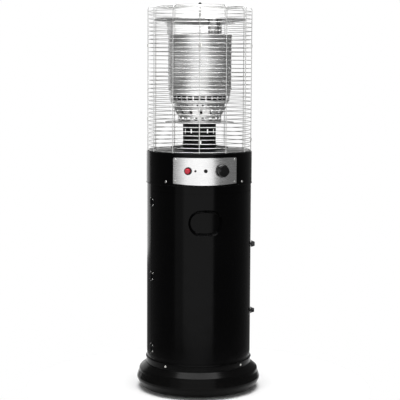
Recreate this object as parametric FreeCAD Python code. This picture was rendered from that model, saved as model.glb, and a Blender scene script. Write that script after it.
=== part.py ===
"""Cylinder gas area heater: a round cabinet for the bottle, a control head and a caged burner.

Millimetres, +Z up. The origin is the centre of the base where it stands on the ground.
The front, with the door and the control panel, faces -Y. Angles are measured around +Z
from the front, positive towards +X.
"""
import FreeCAD, Part
import math
import os

Vec = FreeCAD.Vector
CENTRE = Vec(0, 0, 0)
UP = Vec(0, 0, 1)

# Driving dimensions
BASE_RADIUS = 222.5
BODY_RADIUS = 187.0
BODY_SHEET = 1.2
COLLAR_RADIUS = 188.9
PRESSED_SHEET = 1.5

# The hole in the floor lets leaked gas, which is heavier than air, drain away
DRAIN_RADIUS = 60.0

FLOOR_Z = 93.0
BODY_BOTTOM_Z = 96.0
COLLAR_TOP_Z = 114.5
DOOR_BOTTOM_Z = 121.5
DOOR_TOP_Z = 720.5
HEAD_BOTTOM_Z = 746.0
SHIELD_Z = 752.0
BODY_TOP_Z = 772.0
HEAD_TOP_Z = 861.0
RING_SEAT_Z = 869.2
MOUNT_TOP_Z = 874.0
FLANGE_Z = 961.0
COLLAR_BAND_TOP_Z = 985.0
CONE_TOP_Z = 1017.0
BURNER_Z = 1026.0
PILOT_Z = 1060.4
PAN_BOTTOM_Z = 1030.0
SCREEN_BOTTOM_Z = 1078.0
SCREEN_TOP_Z = 1272.0
CAP_SEAT_Z = 1273.5
DEFLECTOR_Z = 1313.0
REFLECTOR_Z = 1326.0
DOME_TOP_Z = 1379.0

DOOR_HALF_ANGLE = 70.4
OPENING_HALF_ANGLE = 70.8
OPENING_GAP = 1.7
HINGE_ANGLE = -70.6
HINGE_HEIGHTS = (157.0, 417.0, 682.0)
HINGE_AXIS_RADIUS = 190.8
LATCH_ANGLE = 78.0
LATCH_UPPER_Z = 525.0
LATCH_LOWER_Z = 283.0
LOWER_LATCH_TURN = 40.0
RECESS_Z = 618.5
RECESS_WIDTH = 134.0
RECESS_HEIGHT = 89.0
RECESS_DEPTH = 13.0

CONTROL_Z = 801.0
PANEL_HALF_ANGLE = 35.8
PANEL_HEIGHT = 90.0
PANEL_BOW = 5.0
PANEL_BACK = 189.0
PANEL_FACE = 189.8
IGNITER_ANGLE = -19.0
RIVET_ANGLE = -11.3
PORT_ANGLE = -0.5
KNOB_ANGLE = 16.9
KNOB_TURN_AT_OFF = 80.0
SHELL_SCREW_ANGLES = (-135.0, -45.0, 45.0, 135.0)
LOWER_SCREW_Z = 105.0
UPPER_SCREW_Z = 760.0

# The burner and the guard are turned a little from the front of the cabinet
TOP_CLOCK = -7.4
COLUMN_RADIUS = 59.0
FLANGE_RADIUS = 123.0
SCREEN_RADIUS = 113.0
BRACKET_ANGLES = (TOP_CLOCK - 96.6, TOP_CLOCK + 23.4, TOP_CLOCK + 143.4)
BRACKET_SCREW_CIRCLE = 106.5
DEFLECTOR_RADIUS = 127.0
REFLECTOR_RADIUS = 165.0

UPRIGHT_RADIUS = 1.5
UPRIGHT_CIRCLE = 184.7
UPRIGHT_STEP = 30.0
WIRE_RADIUS = 1.1
WELD_DEPTH = 0.35
WIRE_CIRCLE = UPRIGHT_CIRCLE - UPRIGHT_RADIUS - WIRE_RADIUS + WELD_DEPTH
FIRST_RING_Z = 864.0
RING_PITCH = 14.5
RING_COUNT = 34
PANEL_SWEEP = 90.0
PANEL_TOP_Z = 1347.0
DOME_HOOP_Z = 1357.0
DOME_SHOULDER = 14.0

THREAD_RADIUS = 2.0
CLEARANCE_RADIUS = 2.3
SMALL_THREAD_RADIUS = 1.6

nodes = {}
cover_screws = []


# Geometry helpers

def along(direction, length):
    """A vector in a direction, at a length."""
    result = Vec(direction)
    result.normalize()
    return result.multiply(length)


def rounded_edges(points, closed=False):
    """Straight edges through (place, corner radius) pairs, with an arc in each rounded corner."""
    count = len(points)
    enters, middles, leaves = [], [], []
    for index, (place, radius) in enumerate(points):
        inside = closed or 0 < index < count - 1
        if not inside or radius <= 0:
            enters.append(place)
            middles.append(None)
            leaves.append(place)
            continue
        back = along(points[index - 1][0] - place, 1)
        on = along(points[(index + 1) % count][0] - place, 1)
        half = back.getAngle(on) / 2
        reach = radius / math.tan(half)
        enters.append(place + along(back, reach))
        leaves.append(place + along(on, reach))
        middles.append(place + along(back + on, radius / math.sin(half) - radius))
    edges = []
    for index in range(count):
        if middles[index]:
            edges.append(Part.Arc(enters[index], middles[index], leaves[index]).toShape())
        if index + 1 < count or closed:
            start = leaves[index]
            end = enters[(index + 1) % count]
            if start.distanceToPoint(end) > 1e-5:
                edges.append(Part.LineSegment(start, end).toShape())
    return edges


def flat_face(points):
    """A face from (place, corner radius) pairs around its edge."""
    return Part.Face(Part.Wire(rounded_edges(points, closed=True)))


def turned(profile):
    """A solid of revolution about Z from (radius, height, corner radius) points."""
    points = [(Vec(p[0], 0, p[1]), p[2] if len(p) > 2 else 0) for p in profile]
    return flat_face(points).revolve(CENTRE, UP, 360)


def turned_sheet(profile, thickness):
    """Sheet metal turned about Z: the profile is one side, and the metal is on its left."""
    far_side = []
    count = len(profile)
    full = [(p[0], p[1], p[2] if len(p) > 2 else 0) for p in profile]
    for index, (r, z, radius) in enumerate(full):
        before = index if index > 0 else 1
        after = index + 1 if index + 1 < count else count - 1
        back = along(Vec(full[before][0] - full[before - 1][0], full[before][1] - full[before - 1][1]), 1)
        on = along(Vec(full[after][0] - full[after - 1][0], full[after][1] - full[after - 1][1]), 1)
        turn = back.x * on.y - back.y * on.x
        share = 1 + back.dot(on)
        shift = Vec(-back.y - on.y, back.x + on.x).multiply(thickness / share)
        inner = radius - thickness * math.copysign(1, turn) if radius else 0
        far_side.append((max(r + shift.x, 0), z + shift.y, max(inner, 0)))
    return turned(full + far_side[::-1])


def ring(outer, inner, low, high):
    """A plain round wall."""
    wall = Part.makeCylinder(outer, high - low, Vec(0, 0, low))
    return wall.cut(Part.makeCylinder(inner, high - low + 2, Vec(0, 0, low - 1)))


def at_angle(shape, angle):
    """A copy turned about Z, from the front to an angle."""
    return shape.rotated(CENTRE, UP, angle)


def sector(inner, outer, low, high, start, stop):
    """Part of a round wall between two angles."""
    corners = [(Vec(inner, 0, low), 0), (Vec(outer, 0, low), 0), (Vec(outer, 0, high), 0), (Vec(inner, 0, high), 0)]
    return at_angle(flat_face(corners).revolve(CENTRE, UP, stop - start), start - 90)


def spoke(radius, inner, outer, height, angle):
    """A round bar along a radius, between two distances from the axis."""
    bar = Part.makeCylinder(radius, outer - inner, Vec(0, -inner, height), Vec(0, -1, 0))
    return at_angle(bar, angle)


def facing_out(shape, distance, height, angle):
    """Place a shape drawn with +Z out of the surface and +Y up, at a distance from the axis."""
    turned_out = shape.rotated(CENTRE, Vec(1, 0, 0), 90)
    return at_angle(turned_out.translated(Vec(0, -distance, height)), angle)


def box(width, depth, height, centre):
    """A block by its centre."""
    return Part.makeBox(width, depth, height, centre - Vec(width / 2, depth / 2, height / 2))


def bent_rod(points, radius, bends):
    """A round rod along straight runs joined by arcs."""
    path = Part.Wire(rounded_edges([(place, bends) for place in points]))
    start = Part.Circle(points[0], points[1] - points[0], radius).toShape()
    return path.makePipeShell([Part.Wire(start)], True, False)


def fused(shapes):
    """One solid from shapes that overlap or share faces."""
    shapes = list(shapes)
    whole = shapes[0].fuse(shapes[1:])
    return whole.removeSplitter()


def pan_screw(head_radius, head_height, shank_radius, length):
    """A cross-head screw standing on z = 0, with its shank below."""
    head = turned([(0, 0), (head_radius, 0), (head_radius, head_height * 0.9, head_height * 0.6),
                   (0, head_height)])
    shank = Part.makeCylinder(shank_radius, length + 0.01, Vec(0, 0, -length))
    slot_depth = head_height * 0.5
    slot_centre = Vec(0, 0, head_height - slot_depth / 2 + 0.05)
    long_side = head_radius * 1.1
    short_side = head_radius * 0.24
    cross = box(long_side, short_side, slot_depth, slot_centre)
    cross = cross.fuse(box(short_side, long_side, slot_depth, slot_centre))
    return head.fuse(shank).cut(cross).removeSplitter()


def hexagon(across_flats, low, high):
    """A hexagonal prism about Z."""
    corner = across_flats / math.sqrt(3)
    places = [Vec(corner * math.cos(math.radians(60 * k)), corner * math.sin(math.radians(60 * k)), low)
              for k in range(6)]
    return Part.Face(Part.makePolygon(places + places[:1])).extrude(Vec(0, 0, high - low))


def hex_bolt(across_flats, head_height, shank_radius, length):
    """A hexagon bolt standing on z = 0, with its shank below."""
    head = hexagon(across_flats, 0, head_height)
    crown = turned([(0, -1), (across_flats * 0.56, -1), (across_flats * 0.56, head_height - 0.5),
                    (across_flats * 0.47, head_height), (0, head_height)])
    shank = Part.makeCylinder(shank_radius, length + 0.01, Vec(0, 0, -length))
    return head.common(crown).fuse(shank).removeSplitter()


def keep(name, solids):
    """Record a node: one solid, or a group of separate ones."""
    solids = solids if isinstance(solids, list) else [solids]
    pieces = [piece for solid in solids for piece in solid.Solids]
    for piece in pieces:
        assert piece.isValid() and piece.isClosed(), name
    nodes[name] = pieces


# Base

def make_base():
    keep("base_skirt", turned_sheet([
        (158, 0), (176, 0, 14), (209, 10, 26), (BASE_RADIUS, 36, 12), (BASE_RADIUS, 43, 6), (215.5, 62, 14),
        (213.5, 74, 6), (190.5, FLOOR_Z, 4), (172, FLOOR_Z)], PRESSED_SHEET)
        .cut(fused_holes(180, THREAD_RADIUS, FLOOR_Z - 4, FLOOR_Z + 1)))

    floor = turned([(DRAIN_RADIUS, FLOOR_Z), (189, FLOOR_Z), (189, FLOOR_Z + PRESSED_SHEET),
                    (171, FLOOR_Z + PRESSED_SHEET), (168.5, FLOOR_Z + 5, 1.5), (163.5, FLOOR_Z + 5, 1.5),
                    (161, FLOOR_Z + PRESSED_SHEET), (DRAIN_RADIUS, FLOOR_Z + PRESSED_SHEET)])
    keep("base_floor", floor.cut(fused_holes(180, THREAD_RADIUS, FLOOR_Z - 1, FLOOR_Z + 4)))

    collar = fused([
        turned_sheet([(174, FLOOR_Z + PRESSED_SHEET), (COLLAR_RADIUS, FLOOR_Z + PRESSED_SHEET, 1.6),
                      (COLLAR_RADIUS, COLLAR_TOP_Z)], PRESSED_SHEET),
        Part.makeTorus(COLLAR_RADIUS + 0.1, 2.0, Vec(0, 0, COLLAR_TOP_Z))])
    collar = collar.cut(fused_holes(180, THREAD_RADIUS, FLOOR_Z, FLOOR_Z + 6))
    for angle in SHELL_SCREW_ANGLES:
        collar = collar.cut(spoke(CLEARANCE_RADIUS, 182, 192, LOWER_SCREW_Z, angle))
    keep("base_collar", collar)

    bolt = hex_bolt(7, 2.8, THREAD_RADIUS, 6).translated(Vec(0, -180, BODY_BOTTOM_Z))
    keep("base_bolts", [at_angle(bolt, 60 * k + 30) for k in range(6)])


def fused_holes(circle, radius, low, high):
    """Six upright drills on a circle, for the bolts of the base."""
    drill = Part.makeCylinder(radius, high - low, Vec(0, -circle, low))
    return Part.makeCompound([at_angle(drill, 60 * k + 30) for k in range(6)])


def slot_cutter(length, width, depth):
    """A slot with round ends, along X, from z = 0 up."""
    reach = length / 2
    corners = [(Vec(-reach, -width / 2, 0), width / 2 - 0.001), (Vec(reach, -width / 2, 0), width / 2 - 0.001),
               (Vec(reach, width / 2, 0), width / 2 - 0.001), (Vec(-reach, width / 2, 0), width / 2 - 0.001)]
    return flat_face(corners).extrude(Vec(0, 0, depth))


# Cabinet

def make_body():
    inner = BODY_RADIUS - BODY_SHEET
    low = DOOR_BOTTOM_Z - OPENING_GAP
    high = DOOR_TOP_Z + OPENING_GAP
    shell = ring(BODY_RADIUS, inner, BODY_BOTTOM_Z, BODY_TOP_Z)
    shell = shell.cut(sector(150, 200, low, high, -OPENING_HALF_ANGLE, OPENING_HALF_ANGLE))
    hinge_jamb = sector(inner - 9, inner + 0.2, low, high, -OPENING_HALF_ANGLE - 0.4, -OPENING_HALF_ANGLE)
    latch_hem = sector(inner - 3.6, inner + 0.2, low, high, OPENING_HALF_ANGLE, OPENING_HALF_ANGLE + 0.4)
    stops = [sector(inner - 1.2, inner + 0.2, HEAD_BOTTOM_Z - 14, HEAD_BOTTOM_Z - 2, -66, 66),
             sector(inner - 1.9, inner - 0.7, DOOR_TOP_Z - 9, HEAD_BOTTOM_Z - 12, -66, 66),
             sector(inner - 1.2, inner + 0.2, BODY_BOTTOM_Z + 2.5, BODY_BOTTOM_Z + 15, -66, 66),
             sector(inner - 1.9, inner - 0.7, BODY_BOTTOM_Z + 13, DOOR_BOTTOM_Z + 9, -66, 66)]
    shell = fused([shell, hinge_jamb, latch_hem] + stops)
    for height in (165.0, 225.0, 635.0, 695.0):
        vent = slot_cutter(46, 6, 20).rotated(CENTRE, UP, 90)
        for column in range(7):
            shell = shell.cut(facing_out(vent, BODY_RADIUS - 10, height, 180 + 7 * (column - 3)))
    for angle in SHELL_SCREW_ANGLES:
        shell = shell.cut(spoke(THREAD_RADIUS, 180, 190, LOWER_SCREW_Z, angle))
        shell = shell.cut(spoke(THREAD_RADIUS, 180, 190, UPPER_SCREW_Z, angle))
    for height in (LATCH_LOWER_Z, LATCH_UPPER_Z):
        shell = shell.cut(spoke(6.5, 180, 190, height, LATCH_ANGLE))
    for height, angle in hinge_screw_places(-1) + panel_screw_places():
        shell = shell.cut(spoke(SMALL_THREAD_RADIUS, 180, 190, height, angle))
    keep("rear_shell", shell)

    shield = turned_sheet([(24, SHIELD_Z), (inner - 0.1, SHIELD_Z, 2.4), (inner - 0.1, SHIELD_Z + 16)], BODY_SHEET)
    for angle in SHELL_SCREW_ANGLES:
        shield = shield.cut(spoke(THREAD_RADIUS, 180, 190, UPPER_SCREW_Z, angle))
    inlet = inlet_place()
    shield = shield.cut(Part.makeCylinder(15, 20, Vec(inlet.x, inlet.y, SHIELD_Z - 5)))
    keep("heat_shield", shield)

    screw = pan_screw(4.2, 2.6, THREAD_RADIUS, 5.5)
    heights = (LOWER_SCREW_Z, UPPER_SCREW_Z)
    keep("shell_screws", [facing_out(screw, COLLAR_RADIUS + 0.02, height, angle)
                          for height in heights for angle in SHELL_SCREW_ANGLES])


def hinge_screw_places(side):
    """Height and angle of the hinge screws on one side of the seam."""
    reach = math.degrees(9.2 / BODY_RADIUS) * side
    return [(centre + offset, HINGE_ANGLE + reach) for centre in HINGE_HEIGHTS for offset in (-10.5, 10.5)]


# Door, hinges and latches

def make_door():
    inner = BODY_RADIUS - BODY_SHEET
    panel = sector(inner, BODY_RADIUS, DOOR_BOTTOM_Z, DOOR_TOP_Z, -DOOR_HALF_ANGLE, DOOR_HALF_ANGLE)
    hinge_return = sector(inner - 8, inner + 0.2, DOOR_BOTTOM_Z, DOOR_TOP_Z, -DOOR_HALF_ANGLE, -DOOR_HALF_ANGLE + 0.4)
    latch_return = sector(inner - 9.8, inner + 0.2, DOOR_BOTTOM_Z + 10.5, DOOR_TOP_Z - 10.5,
                          DOOR_HALF_ANGLE - 0.4, DOOR_HALF_ANGLE)
    outside = recess_form(0)
    inside = recess_form(BODY_SHEET)
    floor_in = BODY_RADIUS - RECESS_DEPTH
    slab = sector(floor_in - BODY_SHEET, BODY_RADIUS, RECESS_Z - 80, RECESS_Z + 80, -30, 30)
    hollow = sector(floor_in, BODY_RADIUS + 20, RECESS_Z - 80, RECESS_Z + 80, -31, 31)
    door = fused([panel, hinge_return, latch_return]).cut(inside)
    door = fused([door, slab.common(outside)])
    door = door.cut(hollow.common(inside))
    for height, side in hinge_screw_places(1):
        door = door.cut(spoke(SMALL_THREAD_RADIUS, 180, 190, height, side))
    keep("front_door", door)

    strap_in = inner - 11.3
    keepers = []
    for height in (LATCH_LOWER_Z, LATCH_UPPER_Z):
        strap = sector(strap_in, strap_in + 1.5, height - 9, height + 9, DOOR_HALF_ANGLE - 2, LATCH_ANGLE - 2.8)
        pin = spoke(2.5, strap_in - 8, strap_in + 0.5, height, LATCH_ANGLE - math.degrees(13.0 / 172.0))
        keepers.append(fused([strap, pin]))
    keep("door_keepers", keepers)


def recess_form(wall):
    """The tapered block that presses the hand recess into the door, less a wall thickness."""
    sections = []
    for depth, shrink in ((-12.0, -13.2), (RECESS_DEPTH + 8.0, 14.8)):
        width = RECESS_WIDTH - 2 * (shrink + wall)
        height = RECESS_HEIGHT - 2 * (shrink + wall)
        corner = height / 2 - 0.01
        y = -BODY_RADIUS + depth
        places = [Vec(sx * width / 2, y, RECESS_Z + sz * height / 2)
                  for sx, sz in ((-1, -1), (1, -1), (1, 1), (-1, 1))]
        sections.append(Part.Wire(rounded_edges([(place, corner) for place in places], closed=True)))
    return Part.makeLoft(sections, True, True)


def hinge_leaf(side, knuckles):
    """A hinge leaf lying on the surface, with its knuckles around the pin."""
    near = math.degrees(3.7 / BODY_RADIUS)
    far = math.degrees(15.5 / BODY_RADIUS)
    low_angle, high_angle = sorted((HINGE_ANGLE + side * near, HINGE_ANGLE + side * far))
    plate = sector(BODY_RADIUS, BODY_RADIUS + 1.2, -16, 16, low_angle, high_angle)
    axis = hinge_axis()
    shapes = [plate]
    for low, high in knuckles:
        web_low, web_high = sorted((HINGE_ANGLE, HINGE_ANGLE + side * (near + 0.3)))
        shapes.append(sector(BODY_RADIUS + 0.35, BODY_RADIUS + 1.6, low, high, web_low, web_high))
        shapes.append(Part.makeCylinder(3.0, high - low, Vec(axis.x, axis.y, low)))
    leaf = fused(shapes)
    bore = 1.25 if side < 0 else 1.30
    leaf = leaf.cut(Part.makeCylinder(bore, 60, Vec(axis.x, axis.y, -30)))
    for offset in (-10.5, 10.5):
        angle = HINGE_ANGLE + side * math.degrees(9.2 / BODY_RADIUS)
        leaf = leaf.cut(spoke(CLEARANCE_RADIUS - 0.5, 180, 195, offset, angle))
    return leaf


def hinge_axis():
    """A point on the door's hinge axis, at z = 0."""
    turn = math.radians(HINGE_ANGLE)
    return Vec(HINGE_AXIS_RADIUS * math.sin(turn), -HINGE_AXIS_RADIUS * math.cos(turn), 0)


def make_hinges():
    fixed = hinge_leaf(-1, ((-16, -5.6), (5.6, 16)))
    moving = hinge_leaf(1, ((-5.3, 5.3),))
    axis = hinge_axis()
    pin = fused([Part.makeCylinder(1.25, 34, Vec(axis.x, axis.y, -17)),
                 Part.makeCylinder(1.9, 1.4, Vec(axis.x, axis.y, 16))])
    keep("body_hinge_leaves", [fixed.translated(Vec(0, 0, z)) for z in HINGE_HEIGHTS])
    keep("door_hinge_leaves", [moving.translated(Vec(0, 0, z)) for z in HINGE_HEIGHTS])
    keep("hinge_pins", [pin.translated(Vec(0, 0, z)) for z in HINGE_HEIGHTS])
    screw = pan_screw(2.9, 1.7, SMALL_THREAD_RADIUS, 4)
    keep("door_hinge_screws", [facing_out(screw, BODY_RADIUS + 1.2, z, angle)
                               for z, angle in hinge_screw_places(1)])


def latch_knob():
    """A winged knob and its shaft, drawn pointing along +Z, with the wing along Y."""
    disc = turned([(0, 0), (11.5, 0), (11.5, 4.2, 1.6), (0, 4.2)])
    places = [(Vec(0, -11.0, 3.5), 0), (Vec(0, 11.0, 3.5), 0), (Vec(0, 7.2, 14.0), 3), (Vec(0, -7.2, 14.0), 3)]
    wing = flat_face(places).extrude(Vec(6.4, 0, 0)).translated(Vec(-3.2, 0, 0))
    shaft = Part.makeCylinder(4.0, 21.5, Vec(0, 0, -21.5))
    return fused([disc, wing, shaft])


def latch_cam():
    """The hook that catches the keeper's pin: drawn open, with its arc upwards."""
    hub = Part.makeCylinder(7.2, 3, CENTRE)
    band = ring(20, 16, 0, 3)
    wedge = flat_face([(CENTRE, 0), (Vec(30 * math.cos(math.radians(62)), 30 * math.sin(math.radians(62)), 0), 0),
                       (Vec(30 * math.cos(math.radians(115)), 30 * math.sin(math.radians(115)), 0), 0)])
    arc = band.common(wedge.extrude(Vec(0, 0, 3)))
    arm = box(14, 4.4, 3, Vec(11, 0, 1.5)).rotated(CENTRE, UP, 67)
    return fused([hub, arc, arm]).cut(Part.makeCylinder(4.0, 10, Vec(0, 0, -2)))


def make_latches():
    for name, height, turn in (("lower", LATCH_LOWER_Z, LOWER_LATCH_TURN), ("upper", LATCH_UPPER_Z, 0)):
        knob = latch_knob().rotated(CENTRE, UP, turn)
        cam = latch_cam().rotated(CENTRE, UP, turn)
        keep("latch_knob_" + name, facing_out(knob, BODY_RADIUS + 1.2, height, LATCH_ANGLE))
        keep("latch_cam_" + name, facing_out(cam, BODY_RADIUS - 18.6, height, LATCH_ANGLE))
    bush = fused([ring(6.5, 4.06, 0, 7.5), ring(9.5, 4.06, 0, 3.2)])
    keep("latch_bushes", [facing_out(bush, BODY_RADIUS - 7.0, height, LATCH_ANGLE)
                          for height in (LATCH_LOWER_Z, LATCH_UPPER_Z)])


# Control head

def make_head():
    shell = fused([
        turned_sheet([(COLLAR_RADIUS, HEAD_BOTTOM_Z), (COLLAR_RADIUS, HEAD_TOP_Z, 4), (172, HEAD_TOP_Z)],
                     PRESSED_SHEET),
        Part.makeTorus(COLLAR_RADIUS + 0.1, 1.7, Vec(0, 0, HEAD_BOTTOM_Z + 1.7))])
    shell = shell.cut(sector(180, 195, CONTROL_Z - 33, CONTROL_Z + 33, -31, 31))
    for angle in SHELL_SCREW_ANGLES:
        shell = shell.cut(spoke(CLEARANCE_RADIUS, 182, 195, UPPER_SCREW_Z, angle))
    for height, angle in panel_screw_places():
        shell = shell.cut(spoke(SMALL_THREAD_RADIUS, 182, 195, height, angle))
    for angle in head_top_screw_angles():
        shell = shell.cut(drill_at(178, angle, HEAD_TOP_Z - 4, HEAD_TOP_Z + 1))
    keep("head_shell", shell)

    cover = turned_sheet([(48, 868), (112, 868, 12), (172, HEAD_TOP_Z, 8), (182.6, HEAD_TOP_Z)], BODY_SHEET)
    for angle in head_top_screw_angles():
        cover = cover.cut(drill_at(178, angle, HEAD_TOP_Z - 1, HEAD_TOP_Z + 4))
    for angle in mount_screw_angles():
        cover = cover.cut(drill_at(88, angle, 866, 871))
    keep("head_top_plate", cover)

    seat = turned_sheet([(103, RING_SEAT_Z), (103, MOUNT_TOP_Z, 2.5), (59.1, MOUNT_TOP_Z)], PRESSED_SHEET)
    seat = fused([seat, ring(60.6, 59.1, RING_SEAT_Z, MOUNT_TOP_Z + 11)])
    for angle in mount_screw_angles():
        seat = seat.cut(drill_at(88, angle, 870, 880))
    keep("burner_mount_ring", seat)

    screw = cover_screw()
    rim = [at_angle(screw.translated(Vec(0, -178, HEAD_TOP_Z + BODY_SHEET + 0.01)), angle)
           for angle in head_top_screw_angles()]
    middle = [at_angle(screw.translated(Vec(0, -88, MOUNT_TOP_Z + 0.01)), angle) for angle in mount_screw_angles()]
    cover_screws.extend(rim + middle)


def cover_screw():
    """The screw that holds the covers, the gas valve and the reflectors."""
    return pan_screw(3.6, 2.2, THREAD_RADIUS, 6)


def drill_at(distance, angle, low, high):
    """An upright drill of thread size."""
    return at_angle(Part.makeCylinder(THREAD_RADIUS, high - low, Vec(0, -distance, low)), angle)


def head_top_screw_angles():
    return [60 * k for k in range(6)]


def mount_screw_angles():
    return [TOP_CLOCK + 45 + 90 * k for k in range(4)]


def panel_screw_places():
    """Height and angle of the control panel's corner screws."""
    return [(CONTROL_Z + dz, angle) for dz in (-38.5, 38.5) for angle in (-33.2, 33.2)]


def make_control_panel():
    low = CONTROL_Z - PANEL_HEIGHT / 2
    high = CONTROL_Z + PANEL_HEIGHT / 2
    blank = sector(PANEL_BACK, PANEL_FACE, low - PANEL_BOW, high, -PANEL_HALF_ANGLE, PANEL_HALF_ANGLE)
    half_chord = PANEL_FACE * math.sin(math.radians(PANEL_HALF_ANGLE))
    corner = [Vec(half_chord, -250, low), Vec(half_chord, -250, high),
              Vec(-half_chord, -250, high), Vec(-half_chord, -250, low)]
    edges = rounded_edges([(corner[0], 0), (corner[1], 4.5), (corner[2], 4.5), (corner[3], 0)])
    edges.append(Part.Arc(corner[3], Vec(0, -250, low - PANEL_BOW), corner[0]).toShape())
    outline = Part.Face(Part.Wire(edges))
    panel = blank.common(outline.extrude(Vec(0, 200, 0)))
    holes = [(11.2, IGNITER_ANGLE, 0), (3.1, RIVET_ANGLE, 0), (5.0, PORT_ANGLE, 0), (6.5, KNOB_ANGLE, 0),
             (THREAD_RADIUS, KNOB_ANGLE, -13), (THREAD_RADIUS, KNOB_ANGLE, 13)]
    for radius, angle, dz in holes:
        panel = panel.cut(spoke(radius, 170, 200, CONTROL_Z + dz, angle))
    for height, angle in panel_screw_places():
        panel = panel.cut(spoke(CLEARANCE_RADIUS - 0.5, 182, 195, height, angle))
    keep("control_panel", panel)

    screw = pan_screw(2.9, 1.7, SMALL_THREAD_RADIUS, 4)
    corner = [facing_out(screw, PANEL_FACE + 0.03, height, angle) for height, angle in panel_screw_places()]
    hinge = [facing_out(screw, BODY_RADIUS + 1.2, z, angle) for z, angle in hinge_screw_places(-1)]
    keep("small_screws", corner + hinge)

    grommet = turned([(2.6, -3.4), (6.4, -3.4), (6.4, -1.1), (4.9, -1.1), (4.9, 0.15), (6.6, 0.15),
                      (6.6, 1.6, 1.1), (2.6, 1.6, 0.5)])
    rivet = turned([(0, -4), (3.0, -4), (3.0, 0.1), (3.9, 0.1), (3.4, 1.2, 0.5), (0, 1.3)])
    keep("panel_plugs", [facing_out(grommet, PANEL_FACE, CONTROL_Z, PORT_ANGLE),
                         facing_out(rivet, PANEL_FACE, CONTROL_Z, RIVET_ANGLE)])


def make_igniter():
    bezel = turned([(9.7, -18), (11.0, -18), (11.0, 0.15), (13.6, 0.15), (13.6, 5.2, 1.8), (9.7, 6.2, 0.8)])
    keep("igniter_bezel", facing_out(bezel, PANEL_FACE, CONTROL_Z, IGNITER_ANGLE))
    nut = hexagon(27, -6.6, -2.6).cut(Part.makeCylinder(11.0, 10, Vec(0, 0, -9)))
    keep("igniter_nut", facing_out(nut, PANEL_FACE, CONTROL_Z, IGNITER_ANGLE))
    body = fused([turned([(0, -62), (9.6, -62, 1.5), (9.6, -18), (0, -18)]),
                  Part.makeCylinder(11.0, 3, Vec(0, 0, -21)),
                  box(4, 0.8, 9, Vec(0, 0, -65.5))])
    body = body.cut(Part.makeCylinder(3.06, 22, Vec(0, 0, -39)))
    keep("igniter_body", facing_out(body, PANEL_FACE, CONTROL_Z, IGNITER_ANGLE))
    button = fused([turned([(0, -7), (9.3, -7, 0.8), (9.3, 14), (8.4, 18.5, 2.5), (0, 18.8)]),
                    Part.makeCylinder(3.0, 20, Vec(0, 0, -26))])
    keep("igniter_button", facing_out(button, PANEL_FACE, CONTROL_Z, IGNITER_ANGLE))


def make_gas_valve():
    block = box(38, 44, 34, Vec(0, 0, -21))
    neck = Part.makeCylinder(9, 3, Vec(0, 0, -4.5))
    lugs = [Part.makeCylinder(4.5, 3, Vec(0, dy, -4.5)) for dy in (-13, 13)]
    magnet = Part.makeCylinder(9, 20, Vec(6, 0, -57))
    inlet_boss = Part.makeCylinder(8, 10, Vec(0, -20, -26), Vec(0, -1, 0))
    outlet_boss = Part.makeCylinder(7, 8, Vec(0, 20, -26), Vec(0, 1, 0))
    valve = fused([block, neck, magnet, inlet_boss, outlet_boss] + lugs)
    valve = valve.cut(Part.makeCylinder(4.06, 30, Vec(0, 0, -26)))
    for dy in (-13, 13):
        valve = valve.cut(Part.makeCylinder(THREAD_RADIUS, 9, Vec(0, dy, -9)))
    keep("gas_valve", facing_out(valve, PANEL_FACE, CONTROL_Z, KNOB_ANGLE))
    cover_screws.extend([facing_out(cover_screw().translated(Vec(0, dy, 0.03)), PANEL_FACE, CONTROL_Z, KNOB_ANGLE)
                         for dy in (-13, 13)])

    stem = Part.makeCylinder(4.0, 38, Vec(0, 0, -18))
    stem = stem.cut(box(10, 4, 12, Vec(0, 4.6, 15)))
    turned_stem = stem.rotated(CENTRE, UP, KNOB_TURN_AT_OFF)
    keep("valve_stem", facing_out(turned_stem, PANEL_FACE, CONTROL_Z, KNOB_ANGLE))
    washer = ring(6.0, 4.06, 2.6, 3.6)
    keep("stem_washer", facing_out(washer, PANEL_FACE, CONTROL_Z, KNOB_ANGLE))

    knob = turned([(0, 5), (23.2, 5), (23.2, 8.5, 1.2), (20.4, 11, 1.5), (19.4, 20.5, 1.5), (0, 20.8)])
    hollow = turned([(0, 4), (20.6, 4), (20.6, 8), (9, 8), (8, 9.5), (0, 9.5)])
    grip_places = [(Vec(0, -19.2, 18), 0), (Vec(0, 19.2, 18), 0), (Vec(0, 17.8, 26.5), 3), (Vec(0, -17.8, 26.5), 3)]
    grip = flat_face(grip_places).extrude(Vec(8.4, 0, 0)).translated(Vec(-4.2, 0, 0))
    knob = fused([knob.cut(hollow), grip]).cut(stem.common(box(20, 20, 40, Vec(0, 0, 20))))
    knob = knob.rotated(CENTRE, UP, KNOB_TURN_AT_OFF)
    keep("control_knob", facing_out(knob, PANEL_FACE, CONTROL_Z, KNOB_ANGLE))

    inlet = inlet_place()
    fitting = turned([(3, -38), (5.2, -38), (6.2, -35), (5.2, -34), (6.2, -31), (5.2, -30), (5.2, -24),
                      (8.0, -24), (8.0, 0), (3, 0)])
    fitting = fused([fitting, hexagon(19, -20, -8).cut(Part.makeCylinder(4, 30, Vec(0, 0, -25)))])
    keep("gas_inlet", fitting.translated(inlet))


def out_from_valve(depth, rise):
    """A point behind the panel on the valve's own plane."""
    turn = math.radians(KNOB_ANGLE)
    distance = PANEL_FACE + depth
    return Vec(distance * math.sin(turn), -distance * math.cos(turn), CONTROL_Z + rise)


def inlet_place():
    """Where the hose fitting screws into the underside of the valve."""
    return out_from_valve(-26, -30)


# Gas path and burner

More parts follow.
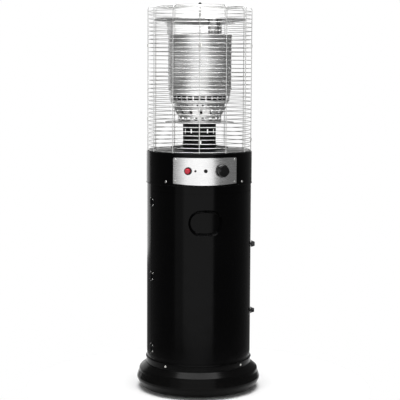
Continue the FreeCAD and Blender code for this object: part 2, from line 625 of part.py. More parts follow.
def make_burner_feed():
    outlet = out_from_valve(-26, 28)
    over = outlet + Vec(0, 0, 12)
    jet_foot = Vec(0, 0, over.z + 14)
    pipe = bent_rod([outlet, over, Vec(0, 0, over.z), jet_foot], 3.5, 9)
    keep("supply_pipe", pipe)
    low = jet_foot.z
    jet = fused([turned([(0, low), (6.5, low), (6.5, low + 10), (3.2, low + 15), (0, low + 15)]),
                 hexagon(14, low + 2, low + 8)])
    keep("gas_jet", jet)
    mixer = turned([(20, 876), (25, 874), (25, 877), (15.5, 902), (13.2, 920), (15.2, 960), (15.2, BURNER_Z),
                    (12.8, BURNER_Z), (12.8, 962), (10.8, 920), (12.8, 903)])
    keep("mixer_tube", mixer)
    switch_box = fused([box(34, 26, 20, Vec(0, 0, 10)), Part.makeCylinder(5, 6, Vec(0, 0, 20)),
                        box(54, 14, 1.6, Vec(0, 0, 0.8))])
    keep("tilt_switch", at_angle(switch_box.translated(Vec(0, -110, SHIELD_Z + BODY_SHEET)), 130))


def make_column():
    column = ring(COLUMN_RADIUS, COLUMN_RADIUS - BODY_SHEET, RING_SEAT_Z, FLANGE_Z)
    opening = slot_cutter(22, 6.6, 20).rotated(CENTRE, UP, 90)
    for count in range(12):
        column = column.cut(facing_out(opening, COLUMN_RADIUS - 10, 929, TOP_CLOCK + 30 * count))
    keep("burner_column", column)

    flange = fused([
        turned([(48, FLANGE_Z), (FLANGE_RADIUS - 1.4, FLANGE_Z), (FLANGE_RADIUS - 1.4, FLANGE_Z + 1.5),
                (48, FLANGE_Z + 1.5)]),
        Part.makeTorus(FLANGE_RADIUS - 1.6, 1.6, Vec(0, 0, FLANGE_Z + 1.0))])
    keep("burner_flange", flange)

    band_low = FLANGE_Z + 1.5
    band = ring(78, 77, band_low, COLLAR_BAND_TOP_Z)
    window = box(13, 12, 11, Vec(0, -78, band_low + 13))
    for count in range(18):
        band = band.cut(at_angle(window, TOP_CLOCK + 10 + 20 * count))
    keep("burner_collar", band)


def make_cone():
    cone = turned_sheet([(76.5, COLLAR_BAND_TOP_Z), (78.4, COLLAR_BAND_TOP_Z), (97, CONE_TOP_Z, 1.5),
                         (90.2, CONE_TOP_Z, 0.5), (90.2, PAN_BOTTOM_Z)], 1.0)
    slope = math.degrees(math.atan2(97 - 78.4, CONE_TOP_Z - COLLAR_BAND_TOP_Z))
    slot = slot_cutter(24, 8.6, 16).rotated(CENTRE, UP, 90).translated(Vec(0, 0, -8))
    slot = slot.rotated(CENTRE, Vec(1, 0, 0), 90 - slope).translated(Vec(0, -87.7, 1001.5))
    for count in range(15):
        cone = cone.cut(at_angle(slot, TOP_CLOCK + 4 + 24 * count))
    hole = spoke(3.2, 80, 95, (CONE_TOP_Z + PAN_BOTTOM_Z) / 2 + 0.5, 0)
    for count in range(30):
        cone = cone.cut(at_angle(hole, 12 * count))
    keep("burner_cone", cone)


def make_emitter():
    wall = turned_sheet([(84, PAN_BOTTOM_Z), (101, PAN_BOTTOM_Z, 2), (106.5, 1040), (109.5, 1060, 4),
                         (111, 1076, 1.5), (SCREEN_RADIUS + 1.2, SCREEN_BOTTOM_Z, 1.2),
                         (SCREEN_RADIUS + 1.2, SCREEN_BOTTOM_Z + 6)], 1.0)
    ribs = [Part.makeTorus(106.2, 1.5, Vec(0, 0, 1039)), Part.makeTorus(109.2, 1.5, Vec(0, 0, 1061)),
            Part.makeTorus(SCREEN_RADIUS + 1.4, 1.2, Vec(0, 0, SCREEN_BOTTOM_Z + 5))]
    pan = fused([wall] + ribs)
    window = box(17.5, 14, 14.5, Vec(0, -107.5, 1050))
    for count in range(30):
        pan = pan.cut(at_angle(window, TOP_CLOCK + 6 + 12 * count))
    keep("emitter_pan", pan)

    keep("emitter_screen", ring(SCREEN_RADIUS, SCREEN_RADIUS - 0.8, SCREEN_BOTTOM_Z + 1.6, SCREEN_TOP_Z))
    cap = turned_sheet([(SCREEN_RADIUS + 1.0, SCREEN_TOP_Z - 8), (SCREEN_RADIUS + 1.0, CAP_SEAT_Z, 1.3),
                        (84, CAP_SEAT_Z, 12), (60, CAP_SEAT_Z + 3, 30), (0, CAP_SEAT_Z + 4)], 0.9)
    keep("emitter_cap", cap)

    low = BURNER_Z - 2
    top = PAN_BOTTOM_Z + 33
    head = turned([(15.3, low), (40, low), (78, PAN_BOTTOM_Z + 1), (93, PAN_BOTTOM_Z + 1), (93, top - 4, 3),
                   (0, top), (0, top - 3), (90, top - 6.8), (90, PAN_BOTTOM_Z + 4), (77, PAN_BOTTOM_Z + 4),
                   (40, low + 3), (15.3, low + 3)])
    port = Part.makeCylinder(1.6, 10, Vec(0, 0, top - 8))
    ports = []
    for circle, count in ((70, 20), (50, 14)):
        ports += [port.translated(Vec(circle * math.cos(2 * math.pi * k / count),
                                      circle * math.sin(2 * math.pi * k / count), 0)) for k in range(count)]
    keep("burner_head", head.cut(ports))

    pilot = fused([Part.makeCylinder(4, 16, Vec(0, 0, 0)), turned([(0, 14), (6, 14), (6, 21, 2), (0, 22)]),
                   box(26, 12, 1.5, Vec(0, 0, 0.75))])
    keep("pilot_burner", at_angle(pilot.translated(Vec(0, -74, PILOT_Z)), -40))
    couple = fused([Part.makeCylinder(1.6, 34, Vec(0, 0, 0)), Part.makeCylinder(3.2, 10, Vec(0, 0, 2))])
    keep("thermocouple", at_angle(couple.translated(Vec(10, -74, PILOT_Z + 1.5)), -40))
    rod = fused([Part.makeCylinder(1.1, 36, Vec(0, 0, 0)), turned([(0, 2), (3.4, 2), (3.4, 18, 1), (0, 18)])])
    keep("spark_electrode", at_angle(rod.translated(Vec(-10, -74, PILOT_Z + 1.5)), -40))


# Reflectors above the burner

def make_reflectors():
    deflector = turned_sheet([(0, DEFLECTOR_Z - 9), (90, DEFLECTOR_Z - 5, 60), (DEFLECTOR_RADIUS, DEFLECTOR_Z)], 1.2)
    seat = REFLECTOR_Z + BODY_SHEET
    top = turned_sheet([(REFLECTOR_RADIUS, REFLECTOR_Z - 3), (REFLECTOR_RADIUS, seat, 2), (84, seat, 12),
                        (60, seat + 3, 30), (0, seat + 4)], BODY_SHEET)
    height = REFLECTOR_Z - CAP_SEAT_Z
    middle = (REFLECTOR_Z + CAP_SEAT_Z) / 2
    brackets = []
    drills = [at_angle(Part.makeCylinder(THREAD_RADIUS, 90, Vec(0, -BRACKET_SCREW_CIRCLE, SCREEN_TOP_Z - 10)), angle)
              for angle in BRACKET_ANGLES]
    for angle in BRACKET_ANGLES:
        foot = box(25, 20, 1.5, Vec(0, -102, CAP_SEAT_Z + 0.75))
        web = box(25, 1.5, height, Vec(0, -101.2, middle))
        sides = [box(1.5, 16, height, Vec(x, -108.4, middle)) for x in (-11.75, 11.75)]
        ear = box(10, 10, 1.2, Vec(0, -95.5, DEFLECTOR_Z - 6.0))
        head = box(25, 20, 1.5, Vec(0, -102, REFLECTOR_Z - 0.75))
        brackets.append(at_angle(fused([foot, web, ear, head] + sides), angle).cut(drills))
        slot = at_angle(box(26, 40, 12, Vec(0, -100.2 - 20, DEFLECTOR_Z - 2)), angle)
        deflector = deflector.cut(slot)
        for height_here in (seat + 0.01, CAP_SEAT_Z + 1.51):
            place = Vec(0, -BRACKET_SCREW_CIRCLE, height_here)
            cover_screws.append(at_angle(cover_screw().translated(place), angle))
    nodes["emitter_cap"] = nodes["emitter_cap"][0].cut(drills).Solids
    keep("reflector_brackets", brackets)
    keep("deflector_plate", deflector)
    head_top = seat + 4 - BODY_SHEET - 0.15
    head_low = head_top - 4.6
    shank = Part.makeCylinder(3.0, DOME_TOP_Z + 5 - head_low, Vec(0, 0, head_low))
    keep("top_reflector", top.cut(drills).cut(shank))
    keep("centre_bolt", fused([shank, hexagon(10, head_low, head_top)]))


# Guard

def guard_upright(low, high, angle):
    return at_angle(Part.makeCylinder(UPRIGHT_RADIUS, high - low, Vec(0, -UPRIGHT_CIRCLE, low)), angle)


def guard_wire(circle, height, start, stop):
    """A horizontal wire around part of the guard."""
    middle = (start + stop) / 2
    turn_places = [Vec(circle * math.sin(math.radians(a)), -circle * math.cos(math.radians(a)), height)
                   for a in (start, middle, stop)]
    path = Part.Wire([Part.Arc(*turn_places).toShape()])
    tangent = Vec(math.cos(math.radians(start)), math.sin(math.radians(start)), 0)
    section = Part.Wire([Part.Circle(turn_places[0], tangent, WIRE_RADIUS).toShape()])
    return path.makePipeShell([section], True, False)


def make_guard():
    first = TOP_CLOCK - 90.0
    steps = int(PANEL_SWEEP / UPRIGHT_STEP)
    gap = math.degrees((UPRIGHT_RADIUS + 0.4) / UPRIGHT_CIRCLE)
    wires = [guard_wire(WIRE_CIRCLE, FIRST_RING_Z + RING_PITCH * k, first, first + PANEL_SWEEP - gap)
             for k in range(RING_COUNT)]
    uprights = [guard_upright(HEAD_TOP_Z, PANEL_TOP_Z, first + UPRIGHT_STEP * k) for k in range(steps)]
    panel = uprights[0].fuse(wires).fuse(uprights[1:])
    for count, name in enumerate(("left", "right", "rear_right", "rear_left")):
        keep("guard_panel_" + name, at_angle(panel, PANEL_SWEEP * count))

    clip_plate = box(7, 1.2, 11, Vec(3.2, -UPRIGHT_CIRCLE + 2.2, 0))
    clip_hook = ring(2.7, UPRIGHT_RADIUS, -5.5, 5.5).translated(Vec(0, -UPRIGHT_CIRCLE, 0))
    clip = fused([clip_hook, clip_plate.cut(Part.makeCylinder(UPRIGHT_RADIUS, 20, Vec(0, -UPRIGHT_CIRCLE, -10)))])
    clips = []
    for height_index, joints in ((8, (0,)), (26, (0, 1, 2, 3)), (3, (1, 2, 3))):
        height = FIRST_RING_Z + RING_PITCH * (height_index - 0.5)
        for joint in joints:
            clips.append(at_angle(clip.translated(Vec(0, 0, height)), first + PANEL_SWEEP * joint))
    keep("guard_clips", clips)


def make_guard_top():
    """The dished lid of the guard: wires bent in from the uprights, and rings under them."""
    hub_radius = 17.0
    slope_top = DOME_TOP_Z
    shoulder = Vec(0, -UPRIGHT_CIRCLE, DOME_HOOP_Z + DOME_SHOULDER)
    hub = Vec(0, -hub_radius + 2, slope_top)
    leg = bent_rod([Vec(0, -UPRIGHT_CIRCLE, PANEL_TOP_Z + 0.1), shoulder, hub], UPRIGHT_RADIUS, DOME_SHOULDER)
    legs = [at_angle(leg, TOP_CLOCK + UPRIGHT_STEP * k) for k in range(int(360 / UPRIGHT_STEP))]
    drop = UPRIGHT_RADIUS + WIRE_RADIUS - WELD_DEPTH
    hoops = [Part.makeTorus(WIRE_CIRCLE, WIRE_RADIUS, Vec(0, 0, DOME_HOOP_Z - 3))]
    rise = (slope_top - shoulder.z) / (UPRIGHT_CIRCLE - hub_radius + 2)
    for circle in (168, 150, 132, 114, 96, 78, 60, 42, 26):
        height = shoulder.z + rise * (UPRIGHT_CIRCLE - circle) - drop
        hoops.append(Part.makeTorus(circle, WIRE_RADIUS, Vec(0, 0, height)))
    plate = turned([(3.0, slope_top - 1.4), (hub_radius, slope_top - 1.4), (hub_radius, slope_top + 0.2, 0.7),
                    (3.0, slope_top + 0.2)])
    keep("guard_top", plate.fuse(legs).fuse(hoops))
    nut_low = slope_top + 0.2
    nut = fused([hexagon(10, nut_low, nut_low + 4), turned([(0, nut_low + 4), (4.4, nut_low + 4),
                                                            (4.4, nut_low + 8, 3.5), (0, nut_low + 8)])])
    keep("guard_nut", nut.cut(Part.makeCylinder(3.0, 25, Vec(0, 0, slope_top - 20))))


make_base()
make_body()
make_door()
make_hinges()
make_latches()
make_head()
make_control_panel()
make_igniter()
make_gas_valve()
make_burner_feed()
make_column()
make_cone()
make_emitter()
make_reflectors()
make_guard()
make_guard_top()
keep("cover_screws", cover_screws)

os.makedirs("parts", exist_ok=True)
for name, solids in nodes.items():
    shape = solids[0] if len(solids) == 1 else Part.makeCompound(solids)
    shape.exportStep(os.path.join("parts", name + ".step"))
print(len(nodes), "nodes written")
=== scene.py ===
"""The looks of the outdoor heater: finishes, the perforated screen, studio light and camera.

Metres, +Z up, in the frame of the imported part.
"""
import math
import bmesh
import bpy
from mathutils import Matrix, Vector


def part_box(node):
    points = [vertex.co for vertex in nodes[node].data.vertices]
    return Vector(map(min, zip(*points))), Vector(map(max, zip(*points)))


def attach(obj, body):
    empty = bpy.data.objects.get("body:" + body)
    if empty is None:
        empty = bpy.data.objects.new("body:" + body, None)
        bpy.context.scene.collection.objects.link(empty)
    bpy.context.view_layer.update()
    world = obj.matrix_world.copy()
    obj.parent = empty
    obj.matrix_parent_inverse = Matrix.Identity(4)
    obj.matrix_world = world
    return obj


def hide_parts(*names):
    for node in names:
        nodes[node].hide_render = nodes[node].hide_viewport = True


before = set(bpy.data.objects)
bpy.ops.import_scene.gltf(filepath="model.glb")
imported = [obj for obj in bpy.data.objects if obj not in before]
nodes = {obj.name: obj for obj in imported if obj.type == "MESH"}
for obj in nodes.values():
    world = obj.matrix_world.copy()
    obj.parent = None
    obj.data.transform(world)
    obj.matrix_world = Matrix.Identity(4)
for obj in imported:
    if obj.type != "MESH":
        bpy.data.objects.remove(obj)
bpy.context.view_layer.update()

rad = math.radians


# Material helpers

class Graph:
    """A small wrapper for building one node material."""

    def __init__(self, name):
        self.material = bpy.data.materials.new(name)
        self.material.use_nodes = True
        self.tree = self.material.node_tree
        self.tree.nodes.clear()
        self.output = self.add("ShaderNodeOutputMaterial")
        self.shader = self.add("ShaderNodeBsdfPrincipled")
        self.link(self.shader.outputs[0], self.output.inputs["Surface"])
        self.place = self.add("ShaderNodeTexCoord").outputs["Object"]

    def add(self, kind, **values):
        node = self.tree.nodes.new(kind)
        for key, value in values.items():
            setattr(node, key, value)
        return node

    def link(self, start, end):
        self.tree.links.new(start, end)

    def put(self, socket, value):
        """A constant or a link on a socket of the shader."""
        target = self.shader.inputs[socket]
        if isinstance(value, bpy.types.NodeSocket):
            self.link(value, target)
        else:
            target.default_value = value

    def stretched(self, scale):
        node = self.add("ShaderNodeMapping")
        node.inputs["Scale"].default_value = scale
        self.link(self.place, node.inputs["Vector"])
        return node.outputs[0]

    def noise(self, scale, detail=4.0, rough=0.55, stretch=None):
        node = self.add("ShaderNodeTexNoise")
        node.inputs["Scale"].default_value = scale
        node.inputs["Detail"].default_value = detail
        node.inputs["Roughness"].default_value = rough
        self.link(self.stretched(stretch) if stretch else self.place, node.inputs["Vector"])
        return node.outputs["Fac"]

    def remap(self, value, low, high, to_low, to_high):
        node = self.add("ShaderNodeMapRange")
        self.link(value, node.inputs["Value"])
        node.inputs["From Min"].default_value = low
        node.inputs["From Max"].default_value = high
        node.inputs["To Min"].default_value = to_low
        node.inputs["To Max"].default_value = to_high
        return node.outputs[0]

    def maths(self, operation, first, second=0.0):
        node = self.add("ShaderNodeMath", operation=operation)
        for index, value in enumerate((first, second)):
            if isinstance(value, bpy.types.NodeSocket):
                self.link(value, node.inputs[index])
            else:
                node.inputs[index].default_value = value
        return node.outputs[0]

    def ramp(self, value, *stops):
        node = self.add("ShaderNodeValToRGB")
        elements = node.color_ramp.elements
        while len(elements) < len(stops):
            elements.new(0.5)
        for element, (position, colour) in zip(elements, stops):
            element.position = position
            element.color = (*colour, 1)
        self.link(value, node.inputs[0])
        return node.outputs[0]

    def blend(self, factor, first, second):
        node = self.add("ShaderNodeMix", data_type="RGBA")
        for socket, value in ((0, factor), (6, first), (7, second)):
            if isinstance(value, bpy.types.NodeSocket):
                self.link(value, node.inputs[socket])
            elif socket == 0:
                node.inputs[0].default_value = value
            else:
                node.inputs[socket].default_value = (*value, 1)
        return node.outputs[2]

    def bump(self, height, strength, distance):
        node = self.add("ShaderNodeBump")
        node.inputs["Strength"].default_value = strength
        node.inputs["Distance"].default_value = distance
        self.link(height, node.inputs["Height"])
        self.link(node.outputs[0], self.shader.inputs["Normal"])

    def edges(self, radius):
        """Bright near convex edges, where handling wears a finish."""
        bevel = self.add("ShaderNodeBevel", samples=4)
        bevel.inputs["Radius"].default_value = radius
        geometry = self.add("ShaderNodeNewGeometry")
        product = self.add("ShaderNodeVectorMath", operation="DOT_PRODUCT")
        self.link(bevel.outputs[0], product.inputs[0])
        self.link(geometry.outputs["Normal"], product.inputs[1])
        return self.remap(product.outputs["Value"], 0.80, 0.99, 1.0, 0.0)

    def height(self):
        """Height above the ground, in metres."""
        node = self.add("ShaderNodeSeparateXYZ")
        self.link(self.place, node.inputs[0])
        return node.outputs["Z"]


def paint(name, colour, rough, shine, orange_peel):
    """Sprayed black paint: a faint orange peel, a clear gloss, and dust towards the ground."""
    g = Graph(name)
    cloud = g.noise(6.0, 5.0)
    fine = g.noise(900.0, 2.0)
    tone = g.ramp(cloud, (0.3, [c * 0.8 for c in colour]), (0.7, [c * 1.35 for c in colour]))
    dust = g.maths("MULTIPLY", g.remap(g.height(), 0.0, 0.14, 0.5, 0.0), g.remap(fine, 0.45, 0.75, 0.0, 0.25))
    tone = g.blend(dust, tone, (0.10, 0.095, 0.085))
    g.put("Base Color", tone)
    g.put("Roughness", g.remap(g.noise(22.0, 6.0), 0.3, 0.7, rough * 0.8, rough * 1.25))
    g.put("Specular IOR Level", shine)
    g.bump(g.noise(320.0, 2.0), orange_peel, 0.0004)
    return g.material


def metal(name, dark, light, rough, stretch, grain=1.0, anisotropy=0.0, stains=None):
    """Bare sheet metal with a rolled or brushed grain, and handling marks."""
    g = Graph(name)
    lines = g.noise(60.0, 5.0, 0.65, stretch)
    cloud = g.noise(9.0, 4.0)
    tone = g.ramp(g.maths("ADD", g.maths("MULTIPLY", lines, 0.6), g.maths("MULTIPLY", cloud, 0.4)),
                  (0.36, dark), (0.64, light))
    if stains:
        tone = g.blend(g.remap(g.noise(14.0, 6.0), 0.52, 0.72, 0.0, 0.55), tone, stains)
    g.put("Base Color", tone)
    g.put("Metallic", 1.0)
    g.put("Roughness", g.remap(lines, 0.35, 0.65, rough * 0.8, rough * 1.3))
    g.put("Anisotropic", anisotropy)
    g.bump(lines, 0.12 * grain, 0.0002)
    return g.material


def plastic(name, colour, worn, rough, grain):
    """Moulded plastic: a fine texture, with its edges polished by hands."""
    g = Graph(name)
    edge = g.edges(0.0012)
    cloud = g.noise(45.0, 4.0)
    plain = g.ramp(cloud, (0.3, [c * 0.85 for c in colour]), (0.7, [c * 1.15 for c in colour]))
    tone = g.blend(g.maths("MULTIPLY", edge, 0.5), plain, worn)
    g.put("Base Color", tone)
    g.put("Roughness", g.remap(cloud, 0.3, 0.7, rough * 0.85, rough * 1.2))
    g.bump(g.noise(1600.0, 2.0), grain, 0.0002)
    return g.material


GRAIN_SHARE = 0.72


def metal_with_painted_top_light(name, dark, light, rough, low, high):
    """Stainless with painted light: the colour turns lighter towards the top between two heights, over a
    faint warm tint low down and a rolled grain.
    """
    g = Graph(name)
    lines = g.noise(70.0, 4.0, 0.6, (1, 1, 9))
    wander = g.maths("MULTIPLY", g.noise(16.0, 4.0), 0.05)
    # Painted light: the sheet's colour gets lighter with height, from a faint warm grey at the bottom to a
    # pale grey at the top
    painted_light_level = g.remap(g.maths("ADD", g.height(), wander), low, high, 0.0, 1.0)
    warm_tint_and_painted_light = g.ramp(painted_light_level, (0.0, (0.78, 0.765, 0.74)), (0.35, (0.78, 0.775, 0.765)), (0.7, (0.83, 0.83, 0.825)),
                  (1.0, (0.88, 0.88, 0.88)))
    tone = g.blend(GRAIN_SHARE, warm_tint_and_painted_light, g.ramp(lines, (0.36, dark), (0.64, light)))
    g.put("Base Color", tone)
    g.put("Metallic", 1.0)
    g.put("Roughness", g.remap(lines, 0.35, 0.65, rough * 0.8, rough * 1.3))
    g.bump(lines, 0.15, 0.0002)
    return g.material


gloss_black = paint("gloss_black_paint", (0.0012, 0.0012, 0.0013), 0.16, 0.09, 0.06)
base_black = paint("base_black_paint", (0.0012, 0.0012, 0.0013), 0.18, 0.06, 0.06)
satin_black = paint("satin_black_paint", (0.004, 0.004, 0.0045), 0.40, 0.15, 0.25)
heat_black = paint("heat_black_paint", (0.006, 0.006, 0.006), 0.5, 0.25, 0.45)
cover_black = paint("cover_black_paint", (0.004, 0.004, 0.0042), 0.30, 0.38, 0.08)
panel_steel = metal("panel_stainless", (0.60, 0.60, 0.60), (0.82, 0.82, 0.82), 0.26, (0.4, 0.4, 22), 0.8, 0.5)
reflector_steel = metal("reflector_stainless", (0.46, 0.46, 0.46), (0.66, 0.66, 0.66), 0.30, (1, 1, 1), 0.6)
# These three stainless finishes carry painted light: each is lighter towards the top of its height range
burner_steel = metal_with_painted_top_light("burner_stainless", (0.54, 0.54, 0.54), (0.76, 0.76, 0.76), 0.34, 0.96, 1.10)
pan_steel = metal_with_painted_top_light("pan_stainless", (0.82, 0.82, 0.82), (0.96, 0.96, 0.96), 0.36, 0.98, 1.08)
screen_steel = metal_with_painted_top_light("screen_stainless", (0.68, 0.68, 0.68), (0.84, 0.84, 0.84), 0.34, 1.05, 1.16)
bracket_steel = metal("bracket_stainless", (0.70, 0.70, 0.70), (0.88, 0.88, 0.88), 0.50, (1, 1, 1), 0.6)
zinc = metal("zinc_plate", (0.66, 0.66, 0.64), (0.88, 0.88, 0.86), 0.20, (1, 1, 1), 0.5,
             stains=(0.62, 0.58, 0.48))
wire_zinc = metal("wire_zinc", (0.84, 0.84, 0.83), (0.97, 0.97, 0.96), 0.36, (1, 1, 6), 0.8)
sooty_steel = metal("sooty_stainless", (0.030, 0.028, 0.026), (0.085, 0.078, 0.070), 0.42, (1, 1, 6), 1.0)
galvanised = metal("galvanised_sheet", (0.44, 0.46, 0.48), (0.66, 0.68, 0.70), 0.38, (1, 1, 1), 1.2)
alloy = metal("cast_alloy", (0.42, 0.42, 0.43), (0.58, 0.58, 0.59), 0.48, (1, 1, 1), 2.5)
brass = metal("brass", (0.55, 0.38, 0.15), (0.78, 0.58, 0.28), 0.24, (1, 1, 1), 0.6,
              stains=(0.40, 0.26, 0.10))
black_plastic = plastic("black_plastic", (0.010, 0.010, 0.011), (0.035, 0.035, 0.036), 0.32, 0.25)
knob_black = plastic("knob_plastic", (0.0035, 0.0035, 0.0037), (0.03, 0.03, 0.031), 0.22, 0.10)
rubber = plastic("black_rubber", (0.012, 0.012, 0.012), (0.03, 0.03, 0.03), 0.62, 0.5)
red_plastic = plastic("red_plastic", (0.62, 0.006, 0.030), (0.80, 0.05, 0.07), 0.20, 0.08)
ceramic = plastic("white_ceramic", (0.80, 0.79, 0.75), (0.86, 0.85, 0.82), 0.22, 0.12)

FINISHES = {
    gloss_black: "rear_shell front_door head_shell",
    base_black: "base_skirt base_collar",
    cover_black: "head_top_plate",
    satin_black: "base_floor body_hinge_leaves door_hinge_leaves",
    heat_black: "burner_column burner_mount_ring burner_head",
    panel_steel: "control_panel",
    reflector_steel: "top_reflector deflector_plate",
    bracket_steel: "reflector_brackets",
    burner_steel: "burner_flange burner_collar burner_cone emitter_cap",
    pan_steel: "emitter_pan",
    sooty_steel: "mixer_tube",
    zinc: "shell_screws small_screws door_hinge_screws cover_screws base_bolts hinge_pins guard_clips"
          " centre_bolt stem_washer",
    wire_zinc: "guard_panel_left guard_panel_right guard_panel_rear_left guard_panel_rear_right guard_top",
    galvanised: "heat_shield door_keepers latch_cam_lower latch_cam_upper pilot_burner thermocouple"
                " igniter_nut",
    black_plastic: "latch_knob_lower latch_knob_upper latch_bushes igniter_bezel igniter_body"
                   " tilt_switch guard_nut",
    knob_black: "control_knob",
    rubber: "panel_plugs",
    red_plastic: "igniter_button",
    alloy: "gas_valve",
    brass: "gas_inlet gas_jet valve_stem supply_pipe",
    ceramic: "spark_electrode",
}
for finish, names in FINISHES.items():
    for name in names.split():
        mesh = nodes[name].data
        mesh.materials.clear()
        mesh.materials.append(finish)


# Mesh helpers

def new_object(name, bm, material, smooth=True):
    mesh = bpy.data.meshes.new(name)
    bm.to_mesh(mesh)
    bm.free()
    for polygon in mesh.polygons:
        polygon.use_smooth = smooth
    mesh.materials.append(material)
    made = bpy.data.objects.new(name, mesh)
    bpy.context.scene.collection.objects.link(made)
    return made


# Emitter screen: a sleeve of perforated sheet

def perforated_sleeve(radius, thickness, low, high, pitch, hole):
    """A round wall with staggered eight-sided holes, made cell by cell."""
    columns = 2 * round(math.pi * radius / pitch)
    rows = round((high - low) / (pitch * math.sqrt(3) / 2))
    row_height = (high - low) / rows
    step = 2 * math.pi / columns
    bm = bmesh.new()
    found = {}

    def vertex(angle_units, z, r):
        key = (round(angle_units * 24) % (columns * 24), round(z * 1e6), round(r * 1e6))
        if key not in found:
            a = angle_units * step
            found[key] = bm.verts.new((r * math.sin(a), -r * math.cos(a), z))
        return found[key]

    half_hole = hole / 2 / (radius * step)
    for row in range(rows):
        centre_z = low + (row + 0.5) * row_height
        shift = 0.5 if row % 2 else 0.0
        for column in range(columns):
            middle = column + shift
            rim = []
            for k in range(8):
                a = math.pi / 4 * k + math.pi / 8
                rim.append((middle + half_hole * math.cos(a), centre_z + hole / 2 * math.sin(a)))
            left, right = middle - 0.5, middle + 0.5
            bottom, top = centre_z - row_height / 2, centre_z + row_height / 2
            outline = [(right, top), (middle, top), (left, top),
                       (left, bottom), (middle, bottom), (right, bottom)]
            rims = []
            for r, flip in ((radius, False), (radius - thickness, True)):
                out = [vertex(x, z, r) for x, z in outline]
                inn = [vertex(x, z, r) for x, z in rim]
                rims.append(inn)
                # The rim runs counter-clockwise; each outline corner takes its nearest rim points
                faces = [(out[0], out[1], inn[1], inn[0]), (out[1], out[2], inn[2], inn[1]),
                         (out[2], inn[3], inn[2]), (out[2], out[3], inn[4], inn[3]),
                         (out[3], out[4], inn[5], inn[4]), (out[4], out[5], inn[6], inn[5]),
                         (out[5], inn[7], inn[6]), (out[5], out[0], inn[0], inn[7])]
                for face in faces:
                    bm.faces.new(face if not flip else face[::-1])
            for k in range(8):
                after = (k + 1) % 8
                bm.faces.new((rims[0][k], rims[0][after], rims[1][after], rims[1][k]))
    for z, units in ((low, 0.0), (high, 0.5 if (rows - 1) % 2 else 0.0)):
        for half in range(2 * columns):
            start, end = units + half / 2, units + (half + 1) / 2
            bm.faces.new((vertex(start, z, radius), vertex(end, z, radius),
                          vertex(end, z, radius - thickness), vertex(start, z, radius - thickness)))
    return bm


SCREEN_SHEET = 0.0008
HOLE_PITCH = 0.0062
HOLE_WIDTH = 0.0040


def screen_mesh():
    low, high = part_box("emitter_screen")
    radius = high.x
    bm = perforated_sleeve(radius, SCREEN_SHEET, low.z, high.z, HOLE_PITCH, HOLE_WIDTH)
    bmesh.ops.recalc_face_normals(bm, faces=bm.faces)
    return new_object("emitter_mesh", bm, screen_steel, smooth=False)


screen = screen_mesh()
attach(screen, "cabinet")
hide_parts("emitter_screen")


# Studio: the lights are set round the camera's side, and brightness is radiance

SIDE = rad(-7.4)
FLOOR_RADIUS = 0.62
FLOOR_COLOUR = (0.92, 0.92, 0.92)
FLOOR_ROUGHNESS = 0.7
TOP_BOX_Y = -0.3
ROOM_STRENGTH = 0.16
BACKDROP_STRENGTH = 1.0


def plain_material(name, colour, rough):
    g = Graph(name)
    g.put("Base Color", g.ramp(g.noise(3.0), (0.3, [c * 0.985 for c in colour]), (0.7, colour)))
    g.put("Roughness", rough)
    return g.material


def floor_disc(radius):
    """A round pale floor under the heater."""
    bm = bmesh.new()
    bmesh.ops.create_circle(bm, cap_ends=True, radius=radius, segments=96)
    return new_object("studio_floor", bm,
                      plain_material("studio_floor_paint", FLOOR_COLOUR, FLOOR_ROUGHNESS))


floor_disc(FLOOR_RADIUS)


def soft_box(name, azimuth, distance, low, high, width, brightness):
    """An upright soft box round the heater, at an angle from the camera's side."""
    data = bpy.data.lights.new(name, "AREA")
    data.shape = "RECTANGLE"
    data.size, data.size_y = width, high - low
    data.energy = brightness * math.pi * width * (high - low)
    lamp = bpy.data.objects.new(name, data)
    turn = rad(azimuth) + SIDE
    lamp.location = (distance * math.sin(turn), -distance * math.cos(turn), (low + high) / 2)
    lamp.rotation_euler = (rad(90), 0, turn)
    bpy.context.scene.collection.objects.link(lamp)


def top_box(height, width, brightness):
    """A square soft box over the heater."""
    data = bpy.data.lights.new("top_box", "AREA")
    data.shape = "SQUARE"
    data.size = width
    data.energy = brightness * math.pi * width * width
    lamp = bpy.data.objects.new("top_box", data)
    lamp.location = (0, TOP_BOX_Y, height)
    bpy.context.scene.collection.objects.link(lamp)


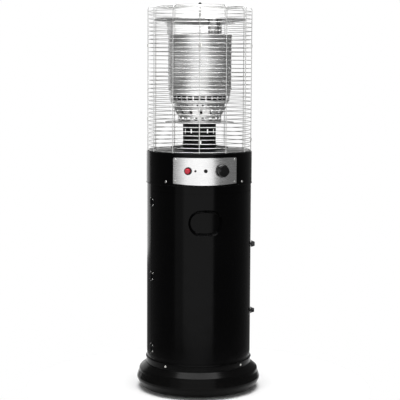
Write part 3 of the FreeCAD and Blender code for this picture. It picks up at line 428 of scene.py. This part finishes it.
soft_box("front_box", azimuth=-1, distance=3.2, low=-0.6, high=1.9, width=4.1, brightness=1.25)
soft_box("left_low_box", azimuth=-43, distance=3.6, low=-0.6, high=1.9, width=1.2, brightness=0.5)
soft_box("back_box", azimuth=195, distance=4.4, low=-0.2, high=2.0, width=5.0, brightness=1.05)
top_box(height=3.8, width=3.0, brightness=8.0)


def studio_world():
    """White behind the heater, and a dim room around it."""
    world = bpy.data.worlds.new("studio_world")
    world.use_nodes = True
    tree = world.node_tree
    tree.nodes.clear()
    output = tree.nodes.new("ShaderNodeOutputWorld")
    mix = tree.nodes.new("ShaderNodeMixShader")
    room = tree.nodes.new("ShaderNodeBackground")
    room.inputs["Color"].default_value = (1, 1, 1, 1)
    room.inputs["Strength"].default_value = ROOM_STRENGTH
    backdrop = tree.nodes.new("ShaderNodeBackground")
    backdrop.inputs["Color"].default_value = (1, 1, 1, 1)
    backdrop.inputs["Strength"].default_value = BACKDROP_STRENGTH
    path = tree.nodes.new("ShaderNodeLightPath")
    tree.links.new(path.outputs["Is Camera Ray"], mix.inputs[0])
    tree.links.new(room.outputs[0], mix.inputs[1])
    tree.links.new(backdrop.outputs[0], mix.inputs[2])
    tree.links.new(mix.outputs[0], output.inputs[0])
    bpy.context.scene.world = world


studio_world()
bpy.context.scene.view_settings.view_transform = "Standard"

# Camera

EYE_HEIGHT = 1.1736
DISTANCE = 4.525
FOCAL = 113.6
PITCH = rad(5.49)
ROLL = rad(0.29)
YAW = rad(0.04)
SHIFT_UP = -0.04

camera_data = bpy.data.cameras.new("photo_camera")
camera_data.lens = FOCAL
camera_data.sensor_width = 36.0
camera_data.shift_y = SHIFT_UP
camera_data.dof.use_dof = False
camera = bpy.data.objects.new("photo_camera", camera_data)
camera.location = (DISTANCE * math.sin(SIDE), -DISTANCE * math.cos(SIDE), EYE_HEIGHT)
turn = Matrix.Rotation(SIDE - YAW, 4, "Z")
tilt = Matrix.Rotation(rad(90) - PITCH, 4, "X")
look = turn @ tilt @ Matrix.Rotation(ROLL, 4, "Z")
camera.rotation_euler = look.to_euler()
bpy.context.scene.collection.objects.link(camera)
bpy.context.scene.camera = camera
